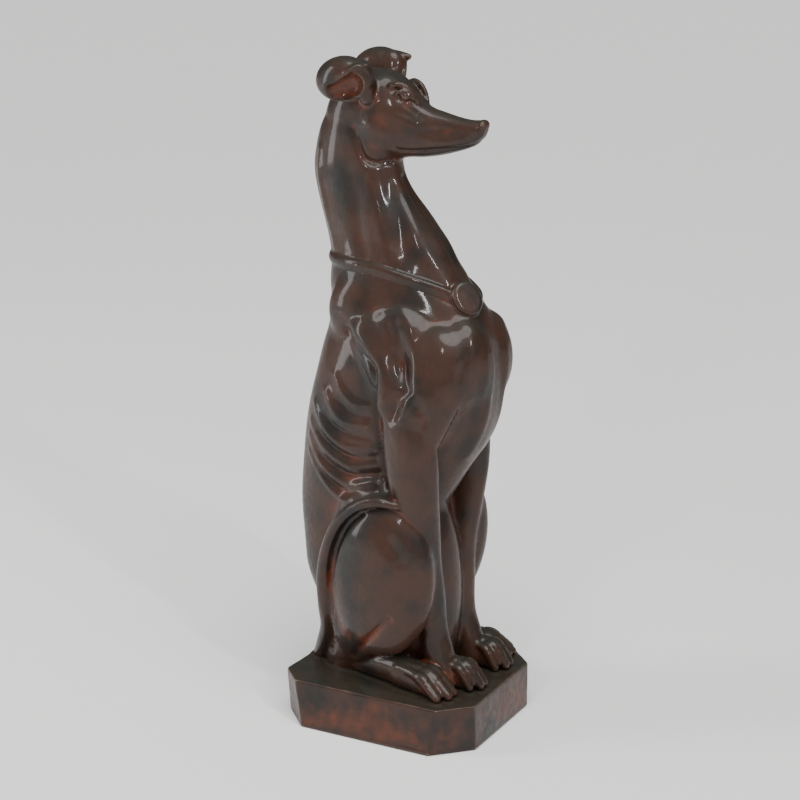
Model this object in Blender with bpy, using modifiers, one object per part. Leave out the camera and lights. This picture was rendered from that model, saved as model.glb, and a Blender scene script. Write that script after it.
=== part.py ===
"""Seated greyhound on a low plinth with cut corners, cast in one piece with its collar and tag."""

import math

import bmesh
import bpy
import numpy as np
from mathutils import Euler, Matrix, Vector
from mathutils.bvhtree import BVHTree

# Sizes in metres. The dog faces -Y, its left side is +X, and the plinth stands on z = 0.
FIGURE_HEIGHT = 0.724
PLINTH_HEIGHT = 0.056
PLINTH_SIDE_MARGIN = 0.009
PLINTH_END_MARGIN = 0.008
PLINTH_FLARE = 0.004
PLINTH_EDGE_RADIUS = 0.0025
COLLAR_WIDTH = 0.012
COLLAR_THICKNESS = 0.003
TAG_LENGTH = 0.041
TAG_WIDTH = 0.033
TAG_THICKNESS = 0.007

# The figure is drawn in units of 1/724 of its height: millimetres at the size above.
DRAWN_HEIGHT = 724.0
UNIT = FIGURE_HEIGHT / DRAWN_HEIGHT
FOOTPRINT_HALF_WIDTH = 96.0
FOOTPRINT_HALF_LENGTH = 115.0

# Each corner of the plinth: side and end, how far it is cut back, how far the cut leans in downwards.
PLINTH_CORNERS = [
    ((-1, -1), 0.033, 0.08),
    ((1, -1), 0.032, 0.0),
    ((-1, 1), 0.027, 0.12),
    ((1, 1), 0.032, 0.0),
]

# Grain of the clay while it is shaped, in the same units, and the size of the finished mesh.
ROUGH_VOXEL = 4.0
FINE_VOXEL = 2.8
FIGURE_TRIANGLES = 9000


def smooth_rows(rows, count):
    """A smooth curve through rows of numbers, read at evenly spaced places."""
    rows = np.array(rows, float)
    padded = np.vstack([2 * rows[0] - rows[1], rows, 2 * rows[-1] - rows[-2]])
    places = np.linspace(0, len(rows) - 1, count)
    index = np.minimum(places.astype(int), len(rows) - 2)
    t = (places - index)[:, None]
    a, b, c, d = (padded[index + k] for k in range(4))
    return 0.5 * (2 * b + (c - a) * t + (2 * a - 5 * b + 4 * c - d) * t**2 + (3 * b - a - 3 * c + d) * t**3)


def smooth_step(value, low, high):
    """0 below low, 1 above high, and an even curve between them."""
    t = np.clip((value - low) / (high - low), 0, 1)
    return t * t * (3 - 2 * t)


def both_sides(mirrored):
    return (1, -1) if mirrored else (1,)


def ball_form(around, rings):
    """Points and faces of a ball of radius 1 that stands on its pole."""
    form = bmesh.new()
    bmesh.ops.create_uvsphere(form, u_segments=around, v_segments=rings, radius=1)
    points = np.array([v.co[:] for v in form.verts])
    faces = [[v.index for v in f.verts] for f in form.faces]
    form.free()
    return points, faces


def add_form(clay, points, faces, mirrored):
    """Keep one closed form, and its mirror image across the dog's middle if there is one."""
    clay.append((points, faces))
    if mirrored:
        clay.append((points * (-1, 1, 1), [f[::-1] for f in faces]))


def add_ball(clay, centre, radii, turn=(0, 0, 0), mirrored=False):
    """One ellipsoid of clay, turned by degrees about X, Y and Z."""
    points, faces = ball_form(36, 24)
    rotation = np.array(Euler([math.radians(a) for a in turn]).to_matrix())
    add_form(clay, (points * np.array(radii)) @ rotation.T + np.array(centre), faces, mirrored)


def add_limb(clay, stations, mirrored=False, across=(1, 0, 0), count=18, step=3.0):
    """A roll of clay with round ends through stations of x, y, z, half width across and half depth."""
    stations = np.array([list(s) + [s[3]] * (5 - len(s)) for s in stations], float)
    run = np.linalg.norm(np.diff(stations[:, :3], axis=0), axis=1).sum()
    rows = smooth_rows(stations, max(5, int(run / step)))
    tangents = np.gradient(rows[:, :3], axis=0)
    tangents /= np.linalg.norm(tangents, axis=1)[:, None]
    sides = np.array(across, float) - tangents * (tangents @ np.array(across, float))[:, None]
    sides /= np.linalg.norm(sides, axis=1)[:, None]
    rings = [(0, a) for a in (-90, -80, -55, -28)]
    rings += [(k, 0) for k in range(len(rows))]
    rings += [(len(rows) - 1, a) for a in (28, 55, 80, 90)]
    points, faces = ball_form(count, len(rings) - 1)
    level = np.rint(np.arccos(np.clip(points[:, 2], -1, 1)) / math.pi * (len(rings) - 1)).astype(int)
    around = np.arctan2(points[:, 1], points[:, 0])
    row = np.array([r for r, _ in rings])[level]
    lean = np.radians([a for _, a in rings])[level]
    wide, thick = rows[row, 3], rows[row, 4]
    along = np.minimum(wide, thick) * np.sin(lean)
    deep = np.cross(tangents, sides)[row]
    placed = rows[row, :3] + tangents[row] * along[:, None]
    placed += sides[row] * (wide * np.cos(lean) * np.cos(around))[:, None]
    placed -= deep * (thick * np.cos(lean) * np.sin(around))[:, None]
    add_form(clay, placed, faces, mirrored)


def add_loft(clay, rings):
    """A ball of clay drawn out over rings that have as many points each."""
    count = len(rings[0])
    points, faces = ball_form(count, len(rings) + 1)
    level = np.rint(np.arccos(np.clip(points[:, 2], -1, 1)) / math.pi * (len(rings) + 1)).astype(int)
    around = np.rint(np.arctan2(points[:, 1], points[:, 0]) / (2 * math.pi) * count).astype(int) % count
    first, last = np.mean(rings[0], axis=0), np.mean(rings[-1], axis=0)
    places = np.array([[first] * count] + [list(ring) for ring in rings] + [[last] * count], float)
    add_form(clay, places[level, around], faces, False)


def egg_ring(half_width, low, high, middle, squareness, count=48):
    """Pairs across and along an egg-shaped section that is widest at middle."""
    points = []
    for k in range(count):
        angle = 2 * math.pi * k / count
        c, s = math.cos(angle), math.sin(angle)
        across = half_width * math.copysign(abs(c) ** (2 / squareness), c)
        reach = (high - middle) if s > 0 else (middle - low)
        points.append((across, middle + reach * math.copysign(abs(s) ** (2 / squareness), s)))
    return points


# The trunk at each height: z, spine y, breast y, half width, y where it is widest, squareness.
TRUNK = [
    (-14, 102, 10, 50, 62, 2.2),
    (30, 103, 4, 52, 62, 2.2),
    (70, 108, -2, 54, 62, 2.2),
    (110, 131, -8, 50, 60, 2.2),
    (150, 137.5, -16, 47, 60, 2.2),
    (190, 141, -36, 47, 58, 2.2),
    (225, 140, -58, 51, 52, 2.1),
    (255, 136, -76, 56, 46, 2.1),
    (290, 130, -98, 61, 38, 2.2),
    (325, 121, -109, 62, 28, 2.5),
    (360, 112, -112, 60, 18, 2.5),
    (390, 106, -111, 57, 8, 2.3),
    (415, 99, -107, 54, 0, 2.2),
    (440, 97, -97, 51, 2, 2.2),
    (465, 99, -79, 48, 12, 2.1),
    (490, 97, -61, 43.5, 22, 2.1),
    (515, 102, -48, 39, 30, 2.1),
    (540, 109, -26, 37, 42, 2.1),
    (565, 116, -3, 35, 52, 2.1),
    (590, 120, 10, 35, 60, 2.1),
    (615, 117, 13, 35, 60, 2.1),
    (640, 110, 15, 34, 60, 2.1),
    (662, 98, 20, 30, 58, 2.1),
]

# The head at each station from nose to nape: y, crown z, jaw z, half width, z of the widest, squareness.
HEAD = [
    (-96, 651, 643, 6, 647, 2.2),
    (-93, 654, 637, 9.5, 645, 2.5),
    (-87, 655, 630, 11.5, 643, 2.6),
    (-80, 654, 625, 12.5, 641, 2.5),
    (-63, 656, 618.7, 14.5, 638, 2.5),
    (-42, 661, 613, 17, 636, 2.5),
    (-27, 665, 610.3, 19.5, 637, 2.4),
    (-16, 672, 608.8, 22, 642, 2.3),
    (-6, 682, 608.4, 26, 648, 2.2),
    (6, 694, 607, 30, 652, 2.2),
    (20, 702, 605, 33, 654, 2.2),
    (36, 705, 603, 34.5, 654, 2.2),
    (54, 704, 603, 34, 654, 2.2),
    (72, 698, 606, 32, 652, 2.2),
    (88, 684, 612, 27, 648, 2.1),
    (99, 666, 622, 17, 644, 2.0),
]


def add_trunk(clay):
    rings = []
    for z, back, front, half, middle, square in smooth_rows(TRUNK, 90):
        rings.append([(x, y, z) for x, y in egg_ring(half, front, back, middle, square)])
    add_loft(clay, rings)


def add_head(clay):
    rings = []
    for y, top, bottom, half, middle, square in smooth_rows(HEAD, 70):
        rings.append([(x, y, z) for x, z in egg_ring(half, bottom, top, middle, square)])
    add_loft(clay, rings)


def add_shoulders(clay):
    """Shoulder blade, upper arm and the breast muscle on each side."""
    add_ball(clay, (34, 42, 434), (20, 44, 44), mirrored=True)
    add_ball(clay, (45, -10, 405), (22, 50, 44), mirrored=True)
    add_ball(clay, (42, -58, 386), (28, 44, 46), (14, 0, 0), True)
    add_ball(clay, (28, -84, 384), (28, 33, 55), mirrored=True)
    add_limb(clay, [(50, -62, 380, 22, 40), (58, -50, 345, 22, 40), (62, -40, 310, 21, 34)], True)
    blade = [(50, 30, 420, 15, 20), (60, 2, 384, 15, 22), (66, -14, 350, 14, 20), (66, -20, 318, 13, 18)]
    add_limb(clay, blade, True)


def add_forelegs(clay):
    add_limb(
        clay,
        [
            (60, -34, 356, 12, 24),
            (64, -34, 324, 18, 33),
            (66, -38, 280, 21, 33),
            (64, -41, 240, 20, 30),
            (54, -43, 195, 17.5, 25),
            (44, -45, 150, 15.5, 20),
            (38, -48, 105, 15.5, 19),
            (36, -52, 70, 14.5, 17),
            (36, -58, 42, 15.5, 19),
            (36, -64, 14, 18, 22),
        ],
        True,
    )


def add_haunches(clay):
    """Thigh and folded lower leg, an egg that leans on the flank. The left one leans further forward."""
    add_ball(clay, (-67, -2, 132), (29.5, 66, 98), (5, 0, 0))
    add_ball(clay, (71, -12, 139), (29.5, 52, 97), (13, 0, 0))
    add_ball(clay, (50, 34, 92), (28, 46, 78), mirrored=True)
    add_ball(clay, (44, 14, 168), (30, 58, 84), mirrored=True)
    add_limb(clay, [(40, 58, 16, 14, 16), (50, 34, 34, 15, 18), (62, 8, 56, 18, 22)], True, across=(0, 0, 1))


def add_belly(clay):
    """The wall behind the forelegs that joins breast, belly and plinth."""
    add_ball(clay, (0, -4, 100), (48, 62, 150))


def add_paw(clay, wrist, toes, width, height):
    """Four toes side by side, the outer two set back, each with a knuckle and a tip on the ground."""
    thick = width / 8 + 0.8
    shape = [(0, 0.94, 0.8), (0.35, 0.92, 0.8), (0.64, 0.8, 1.14), (0.86, 0.44, 1.04), (1, 0.2, 0.95)]
    for toe in (-1.5, -0.5, 0.5, 1.5):
        back = 4.5 * (toe * toe - 0.25)
        course = []
        for along, rise, size in shape:
            side = toe * width / 4 * (0.72 + 0.36 * along)
            x = wrist[0] + (toes[0] - wrist[0]) * along + side
            y = wrist[1] + (toes[1] + back - wrist[1]) * along
            course.append((x, y, height * rise * (1 - 0.05 * toe * toe), thick * size))
        add_limb(clay, course, count=14)
    middle = ((wrist[0] + toes[0]) / 2, (wrist[1] + toes[1]) / 2)
    base = [(wrist[0], wrist[1], height * 0.5, width * 0.4, height * 0.52)]
    base.append((middle[0], middle[1], height * 0.42, width * 0.44, height * 0.5))
    base.append((toes[0], toes[1] + 18, height * 0.2, width * 0.42, height * 0.26))
    add_limb(clay, base)


def add_feet(clay):
    """Hind feet lie flat from hock to toes, turned out. Forefeet stand between them."""
    hock = [(38, 56, 14, 13, 15), (48, 22, 16, 13, 17), (56, -12, 19, 15, 19), (61, -34, 18, 17, 18)]
    add_limb(clay, hock, True)
    add_paw(clay, (-58, -22), (-68, -90), 43, 32)
    add_paw(clay, (62, -30), (76, -97), 43, 31)
    add_paw(clay, (-32, -68), (-26, -110), 36, 36)
    add_paw(clay, (39, -68), (42, -110), 38, 36)


def add_tail(clay):
    """The tail leaves the rump low, and lies up and over the right thigh to the knee."""
    course = [
        (-18, 107, 0, 13),
        (-32, 95, 22, 12),
        (-46, 82, 52, 11.5),
        (-59, 78, 84, 11),
        (-66, 76, 122, 10.5),
        (-73, 66, 160, 9.5),
        (-78, 48, 196, 8.5),
        (-83, 22, 220, 7.5),
        (-84, -4, 229, 6.5),
        (-80, -27, 226, 4.5),
    ]
    add_limb(clay, course, count=16)


def add_ears(clay):
    """Ears folded back, each a dome with its point to the front. Their mouths are hollowed later."""
    for x, y, z in ((-42, 61, 695.5), (44, 64, 698)):
        side = math.copysign(1, x)
        add_ball(clay, (x, y, z), (19, 33, 25), (-12, 0, 0))
        add_ball(clay, (x - 4 * side, y - 18, z + 1), (13, 18, 22), (8, 0, 0))
        tip = 38 if side > 0 else 30
        out = x + 2 * side
        add_limb(clay, [(x, y - 12, z + 13, 10), (out, y - 24, z + 14, 8), (out, y - tip, z + 15, 4)])
        add_limb(clay, [(x * 0.78, y - 26, z - 20, 9), (x * 0.8, y - 24, z - 4, 11)])


def add_face(clay):
    """Eyes with their lids and brows, the nose pad, and the rolled rims of the ears."""
    add_ball(clay, (19, -5, 677), (5, 5.5, 4.5), mirrored=True)
    lid = [(24, 4, 680, 1.8), (22.5, -1, 683.5, 2.3), (19, -8, 681, 2.2), (16.5, -13, 674, 1.6)]
    brow = [(22, 12, 688, 3), (19, 4, 690, 3.5), (16, -6, 686, 3.3), (14, -13, 677, 2.6), (11, -18, 668, 1.6)]
    rim = [(57, 76, 689, 2.4), (55, 64, 694, 3), (57, 48, 704, 3.2), (51, 36, 711, 3), (43, 29, 705, 2.6)]
    rim.append((37, 27, 692, 2.6))
    add_limb(clay, lid, True, count=12)
    add_limb(clay, brow, True, count=12)
    add_limb(clay, rim, True, count=12)
    add_ball(clay, (0, -91, 649), (9.5, 6, 6.5), (20, 0, 0))


def add_collar(clay, skin):
    """A strap round the root of the neck, and the tag that hangs from it."""
    wide = COLLAR_WIDTH / 2 / UNIT
    thick = COLLAR_THICKNESS / UNIT
    course = [(0, 98, 491), (-20, 92, 490), (-38, 56, 489), (-42, 25, 487), (-41, -10, 480), (-33, -43, 470)]
    course += [(-21, -70, 458), (0, -82, 450)]
    loop = course + [(-x, y, z) for x, y, z in course[-2:0:-1]]
    rows = smooth_rows(loop + loop[:2], 90)
    stations = [tuple(laid_on(skin, row, 0.6)) + (wide, thick) for row in rows]
    add_limb(clay, stations, across=(0, 0, 1), count=12)
    facing = Vector((-0.62, -0.68, 0.4)).normalized()
    hang = Vector((0.05, -0.55, -0.85))
    hang = (hang - facing * facing.dot(hang)).normalized()
    turn = Matrix((hang.cross(facing), facing, hang)).transposed()
    points, faces = ball_form(36, 24)
    rim = np.hypot(points[:, 0], points[:, 2])
    points[:, 1] = np.sign(points[:, 1]) * np.abs(points[:, 1]) ** 0.5
    points[:, 1] *= 0.78 + 0.22 * smooth_step(rim, 0.6, 0.82)
    points *= np.array((TAG_WIDTH / 2, TAG_THICKNESS, TAG_LENGTH / 2)) / UNIT
    add_form(clay, points @ np.array(turn).T + np.array(laid_on(skin, (-17, -79, 456), 4)), faces, False)


def laid_on(skin, point, lift):
    """The nearest place on the skin, raised a little above it."""
    place, normal, _, _ = skin.find_nearest(Vector(point[:3]))
    return place + normal * lift


def skin_of(mesh):
    return BVHTree.FromPolygons([v.co[:] for v in mesh.vertices], [list(p.vertices) for p in mesh.polygons])


# Lines raised from the skin or cut in: points, half width, height (below zero cuts in), both sides.
CARVING = [
    # ribs, from the spine down and forward to the arm
    ([(-50, 66, 361), (-57, 55, 345), (-61, 39, 333), (-60, 21, 332)], 6, 2.6, True),
    ([(-50, 78, 340), (-56, 66, 321), (-60, 50, 310), (-61, 23, 308)], 6, 2.8, True),
    ([(-44, 96, 323), (-52, 84, 303), (-56, 68, 288), (-58, 48, 280), (-57, 12, 282)], 6, 3.0, True),
    ([(-42, 103, 300), (-51, 87, 278), (-55, 66, 264), (-56, 45, 256), (-55, 14, 261)], 6, 3.0, True),
    ([(-41, 106, 282), (-49, 91, 255), (-52, 71, 240), (-52, 47, 233), (-50, 13, 238)], 6, 3.0, True),
    ([(-38, 108, 262), (-48, 92, 238), (-49, 76, 222), (-49, 58, 212), (-50, 40, 212)], 5, 2.6, True),
    # hollows between the ribs, deepest near the arm
    ([(-58, 60, 334), (-61, 42, 321), (-60, 20, 321)], 5, -2.6, True),
    ([(-54, 78, 312), (-59, 58, 298), (-59, 18, 295)], 5, -3.0, True),
    ([(-50, 90, 290), (-56, 68, 275), (-57, 44, 267), (-56, 14, 271)], 5, -3.0, True),
    ([(-47, 95, 266), (-54, 70, 251), (-54, 44, 244), (-53, 12, 250)], 5, -3.0, True),
    ([(-46, 96, 246), (-51, 74, 229), (-51, 50, 222), (-50, 12, 226)], 5, -2.6, True),
    # the groove behind the arm
    (
        [(-50, 52, 415), (-62, 20, 393), (-68, 4, 376), (-66, 8, 340), (-62, 7, 306), (-52, -6, 240)],
        7,
        -6,
        True,
    ),
    # arm muscles and elbow
    ([(-60, -12, 432), (-65, -22, 412), (-66, -25, 392), (-70, -30, 376), (-74, -38, 360)], 8, -4, True),
    ([(-57, -16, 449), (-62, -32, 435), (-66, -38, 414), (-69, -44, 388), (-75, -50, 362)], 8, 1.8, True),
    ([(-76, -26, 352), (-79, -20, 330)], 8, -3.5, True),
    ([(-76, -42, 352), (-79, -33, 328)], 7, 2.5, True),
    ([(-77, -52, 345), (-74, -60, 333), (-72, -52, 318)], 9, -3, True),
    ([(-70, -10, 346), (-66, 2, 330)], 10, 3, True),
    # breast muscles and keel
    ([(-50, -97, 405), (-58, -92, 377), (-58, -87, 352)], 6, -2, True),
    ([(-46, -96, 352), (-46, -84, 329), (-44, -68, 304)], 5, 2.2, True),
    ([(-16, -104, 420), (-19, -108, 390), (-18, -105, 358), (-15, -95, 320), (-13, -75, 285)], 8, 3, True),
    ([(-34, -102, 415), (-37, -104, 385), (-34, -100, 345), (-30, -88, 312), (-24, -66, 280)], 10, -3, True),
    # neck cords and the hollow between them
    ([(-29, 34, 592), (-32, 24, 562), (-36, 17, 536), (-40, 8, 506)], 11, 2.2, True),
    ([(-30, 56, 590), (-34, 50, 560), (-39, 44, 525), (-42, 36, 503)], 12, -2.4, True),
    ([(-20, 18, 596), (-24, 8, 572), (-31, -4, 536), (-35, -14, 505)], 12, -2.2, True),
    ([(-8, 9, 599), (-13, 0, 572), (-23, -17, 536), (-27, -34, 505), (-20, -56, 478)], 12, 2.4, True),
    ([(0, 2, 585), (0, -22, 545), (0, -48, 510), (0, -66, 478)], 7, -3.5, False),
    ([(-24, 100, 613), (-24, 100, 579), (-26, 92, 540), (-30, 82, 504)], 6, 2.5, True),
    # jaw, mouth and muzzle
    ([(-34, 52, 640), (-33, 46, 622), (-32, 40, 609), (-25, 30, 603), (-13, 15, 604)], 5, -4.5, True),
    ([(-35, 28, 664), (-34, 32, 642), (-30, 24, 620)], 12, 2.2, True),
    ([(-22, 6, 622), (-20, -2, 616), (-17, -21, 618), (-14, -51, 622), (-9, -82, 626)], 3, -2.6, True),
    ([(-20, 6, 614), (-23, 5, 620), (-23, -3, 626)], 4, 2.6, True),
    ([(-20, -26, 640), (-17, -45, 642), (-14, -66, 643)], 7, -2.0, True),
    ([(-18, -40, 628), (-16, -58, 630), (-13, -74, 633)], 7, 2.2, True),
    ([(-31, 30, 645), (-29, 14, 636), (-25, 0, 634)], 9, 2.0, True),
    # crown
    ([(0, 30, 706), (0, 10, 696), (0, -8, 684)], 7, -2.0, False),
    # haunch: the groove above the hock, the calf, and the crease along the tail
    ([(-92, -22, 93), (-90, -5, 74), (-80, 16, 52), (-64, 39, 27)], 6, -5, True),
    ([(-89, -17, 193), (-90, -26, 180), (-90, -34, 165)], 13, -2.5, True),
    (
        [(-80, 20, 212), (-78, 38, 192), (-76, 53, 160), (-73, 61, 122), (-68, 62, 84), (-48, 78, 22)],
        6,
        -5,
        True,
    ),
    ([(-76, 52, 120), (-70, 58, 84), (-60, 64, 46)], 5, 2.5, True),
    # spine
    ([(0, 97, 450), (0, 118, 340), (0, 136, 240), (0, 132, 130)], 8, 1.5, False),
    ([(14, 96, 450), (16, 116, 340), (18, 132, 240), (18, 128, 130)], 8, -1.5, True),
]

# Hollows pressed into the skin: centre, half sizes, turn in degrees and the way in, both sides.
HOLLOWS = [
    # the mouth of the ear
    ((-64, 51, 684), (26, 27, 18.5), (-32, 0, 0), (1, 0, 0)),
    # the eye socket
    ((-26, -4, 677.5), (7.5, 8.5, 6.5), (-15, 0, 0), (1, 0.3, 0)),
]


def press(points, side, centre, sizes, turn, way):
    """Skin inside an egg shape is pressed to the egg's far wall, which leaves a crisp rim."""
    mirror = np.array((side, 1, 1))
    spin = np.array(Euler([math.radians(t) for t in turn]).to_matrix())
    local = (points * mirror - np.array(centre)) @ spin / np.array(sizes)
    step = np.array(way) @ spin / np.array(sizes)
    along = local @ step
    reach = along**2 - (step @ step) * ((local**2).sum(axis=1) - 1)
    inside = (local**2).sum(axis=1) < 1
    far = (np.sqrt(np.maximum(reach, 0)) - along) / (step @ step)
    points[inside] += np.outer(far[inside], np.array(way) * mirror)


def carve(mesh, lines, hollows):
    """Raise and cut the lines along the skin's normals, and push the hollows in."""
    skin = skin_of(mesh)
    count = len(mesh.vertices)
    points = np.empty(count * 3)
    mesh.vertices.foreach_get("co", points)
    points = points.reshape(-1, 3)
    normals = np.empty(count * 3)
    mesh.vertices.foreach_get("normal", normals)
    normals = normals.reshape(-1, 3)
    moved = np.zeros((count, 3))
    for line, width, height, mirrored in lines:
        for side in both_sides(mirrored):
            rows = np.array([laid_on(skin, (p[0] * side, p[1], p[2]), 0) for p in line])
            rows = smooth_rows(rows, max(8, len(rows) * 8))
            near = np.all((points > rows.min(0) - 2.2 * width) & (points < rows.max(0) + 2.2 * width), axis=1)
            index = np.nonzero(near)[0]
            if len(index) == 0:
                continue
            gaps = np.linalg.norm(points[index][:, None, :] - rows[None, :, :], axis=2)
            nearest = gaps.argmin(axis=1)
            gap = gaps[np.arange(len(index)), nearest]
            ends = np.sin(np.pi * np.clip((nearest + 1) / (len(rows) + 1), 0.12, 0.88)) ** 0.5
            lift = height * np.exp(-1.6 * (gap / width) ** 2) * ends
            moved[index] += normals[index] * lift[:, None]
    points += moved
    for hollow in hollows:
        for side in (1, -1):
            press(points, side, *hollow)
    mesh.vertices.foreach_set("co", points.ravel())
    mesh.update()
    return mesh


def fused(clay, voxel, reach):
    """The clay as one skin: a voxel remesh joins what overlaps, and smoothing softens the joins."""
    points, faces, first = [], [], 0
    for form_points, form_faces in clay:
        faces += [[first + k for k in f] for f in form_faces]
        points.append(form_points)
        first += len(form_points)
    mesh = bpy.data.meshes.new("clay")
    mesh.from_pydata(np.concatenate(points), [], faces)
    body = bpy.data.objects.new("clay", mesh)
    bpy.context.scene.collection.objects.link(body)
    remesh = body.modifiers.new("join", "REMESH")
    remesh.mode = "VOXEL"
    remesh.voxel_size = voxel
    soften = body.modifiers.new("soften", "SMOOTH")
    soften.factor = 0.5
    soften.iterations = max(1, round((reach / voxel) ** 2))
    graph = bpy.context.evaluated_depsgraph_get()
    result = bpy.data.meshes.new_from_object(body.evaluated_get(graph))
    bpy.data.objects.remove(body)
    return result


def as_clay(mesh):
    """A finished mesh as one form that more clay can be laid on."""
    points = np.empty(len(mesh.vertices) * 3)
    mesh.vertices.foreach_get("co", points)
    faces = [list(p.vertices) for p in mesh.polygons]
    return [(points.reshape(-1, 3), faces)]


def model_figure(rough, fine):
    clay = []
    add_trunk(clay)
    add_shoulders(clay)
    add_haunches(clay)
    add_belly(clay)
    clay = as_clay(fused(clay, rough, 14))
    add_head(clay)
    add_forelegs(clay)
    mass = fused(clay, rough, 6.9)
    clay = as_clay(mass)
    skin = skin_of(mass)
    add_feet(clay)
    add_tail(clay)
    add_ears(clay)
    add_collar(clay, skin)
    mass = carve(fused(clay, fine, 2.8), CARVING, HOLLOWS)
    clay = as_clay(mass)
    add_face(clay)
    return fused(clay, fine, 2.2)


def thinned(mesh, triangles):
    """The same form with fewer triangles, as one closed mesh."""
    body = bpy.data.objects.new("thin", mesh)
    bpy.context.scene.collection.objects.link(body)
    thin = body.modifiers.new("thin", "DECIMATE")
    mesh.calc_loop_triangles()
    thin.ratio = triangles / len(mesh.loop_triangles)
    graph = bpy.context.evaluated_depsgraph_get()
    result = bpy.data.meshes.new_from_object(body.evaluated_get(graph))
    bpy.data.objects.remove(body)
    return result


def placed(mesh):
    """The figure at its real size, standing on the plinth."""
    mesh.transform(Matrix.Translation((0, 0, PLINTH_HEIGHT)) @ Matrix.Scale(UNIT, 4))
    return mesh


def model_plinth():
    """The plinth's outline, a rectangle with its corners cut by hand, with softened edges."""
    half_width = FOOTPRINT_HALF_WIDTH * UNIT + PLINTH_SIDE_MARGIN
    half_length = FOOTPRINT_HALF_LENGTH * UNIT + PLINTH_END_MARGIN
    form = bmesh.new()
    bmesh.ops.create_cube(form, size=1)
    bmesh.ops.scale(form, vec=(2 * half_width, 2 * half_length, PLINTH_HEIGHT), verts=form.verts)
    bmesh.ops.translate(form, vec=(0, 0, PLINTH_HEIGHT / 2), verts=form.verts)
    foot = [v for v in form.verts if v.co.z < PLINTH_HEIGHT / 2]
    bmesh.ops.scale(form, vec=(1 + PLINTH_FLARE / half_width, 1, 1), verts=foot)
    for (side, end), size, lean in PLINTH_CORNERS:
        corner = Vector((side * (half_width - size), end * half_length, PLINTH_HEIGHT))
        outward = Vector((side, end, -lean)).normalized()
        cut = bmesh.ops.bisect_plane(
            form,
            geom=form.verts[:] + form.edges[:] + form.faces[:],
            plane_co=corner,
            plane_no=outward,
            clear_outer=True,
        )
        rim = [e for e in cut["geom_cut"] if isinstance(e, bmesh.types.BMEdge)]
        bmesh.ops.contextual_create(form, geom=rim)
    bmesh.ops.recalc_face_normals(form, faces=form.faces[:])
    edges = form.edges[:]
    bmesh.ops.bevel(
        form, geom=edges, offset=PLINTH_EDGE_RADIUS, affect="EDGES", segments=2, profile=0.5, material=-1
    )
    mesh = bpy.data.meshes.new("plinth")
    form.to_mesh(mesh)
    form.free()
    return mesh


def finish():
    material = bpy.data.materials.new("dark_brown_patina")
    material.use_nodes = True
    shader = material.node_tree.nodes["Principled BSDF"]
    shader.inputs["Base Color"].default_value = (0.045, 0.022, 0.014, 1)
    shader.inputs["Roughness"].default_value = 0.35
    shader.inputs["Metallic"].default_value = 0.0
    return material


def main():
    for obj in list(bpy.data.objects):
        bpy.data.objects.remove(obj)
    collection = bpy.data.collections.new("greyhound_statue")
    bpy.context.scene.collection.children.link(collection)
    helpers = bpy.data.collections.new("cutters")
    bpy.context.scene.collection.children.link(helpers)

    figure_mesh = thinned(placed(model_figure(ROUGH_VOXEL, FINE_VOXEL)), FIGURE_TRIANGLES)
    figure_mesh.shade_smooth()
    figure = bpy.data.objects.new("greyhound_statue", figure_mesh)
    collection.objects.link(figure)
    plinth = bpy.data.objects.new("plinth_form", model_plinth())
    helpers.objects.link(plinth)
    plinth.hide_render = True
    plinth.display_type = "WIRE"
    join = figure.modifiers.new("stand on the plinth", "BOOLEAN")
    join.operation = "UNION"
    join.solver = "EXACT"
    join.object = plinth
    figure.data.materials.append(finish())


main()
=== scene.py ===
import math
import bmesh
import bpy
import numpy as np
from mathutils import Euler, Matrix, Vector, noise
from mathutils.bvhtree import BVHTree


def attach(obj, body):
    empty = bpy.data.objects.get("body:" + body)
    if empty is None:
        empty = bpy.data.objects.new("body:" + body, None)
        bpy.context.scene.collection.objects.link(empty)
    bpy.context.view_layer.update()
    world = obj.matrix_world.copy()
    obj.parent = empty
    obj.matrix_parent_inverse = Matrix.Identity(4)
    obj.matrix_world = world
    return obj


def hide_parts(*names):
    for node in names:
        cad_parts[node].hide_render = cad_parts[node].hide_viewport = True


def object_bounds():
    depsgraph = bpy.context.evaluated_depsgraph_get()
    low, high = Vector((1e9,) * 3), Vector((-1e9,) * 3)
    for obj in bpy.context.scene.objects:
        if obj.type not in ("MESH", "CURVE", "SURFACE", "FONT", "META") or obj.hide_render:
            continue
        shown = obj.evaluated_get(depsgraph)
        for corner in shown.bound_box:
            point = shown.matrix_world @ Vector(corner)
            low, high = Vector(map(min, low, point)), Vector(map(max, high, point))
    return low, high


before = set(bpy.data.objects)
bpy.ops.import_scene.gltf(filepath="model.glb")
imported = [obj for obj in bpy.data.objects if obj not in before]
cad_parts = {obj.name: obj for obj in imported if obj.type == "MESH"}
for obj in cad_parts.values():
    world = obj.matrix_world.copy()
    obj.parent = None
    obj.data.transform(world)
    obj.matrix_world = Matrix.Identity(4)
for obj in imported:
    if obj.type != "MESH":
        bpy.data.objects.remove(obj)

# Seated greyhound on a plinth with cut corners, one hollow casting under a dark brown patina.
# Metres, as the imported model: the dog faces -Y, its left side is +X, up is +Z.

cadBox = [list(corner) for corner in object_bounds()]

# What a user would change, in metres. The heights and the plinth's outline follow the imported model
sizes = {
    "figureHeight": 0.724,
    "plinthHeight": 0.056,
    "collarWidth": 0.012,
    "collarThickness": 0.003,
    "tagLength": 0.041,
    "tagWidth": 0.033,
    "tagThickness": 0.007,
    "roughVoxel": 2.6,  # in drawn units
    "fineVoxel": 1.5,
    "figureTriangles": 190000,
}
unit = sizes["figureHeight"] / 724.0  # one drawn unit: the drawing is 724 high
collarWidth, collarThickness = sizes["collarWidth"], sizes["collarThickness"]
tagLength, tagWidth, tagThickness = sizes["tagLength"], sizes["tagWidth"], sizes["tagThickness"]


# A point of the figure, drawn from the plinth's top, as a place in the scene
def spot(x, y, z):
    return Vector((x * unit, y * unit, sizes["plinthHeight"] + z * unit))


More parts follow.
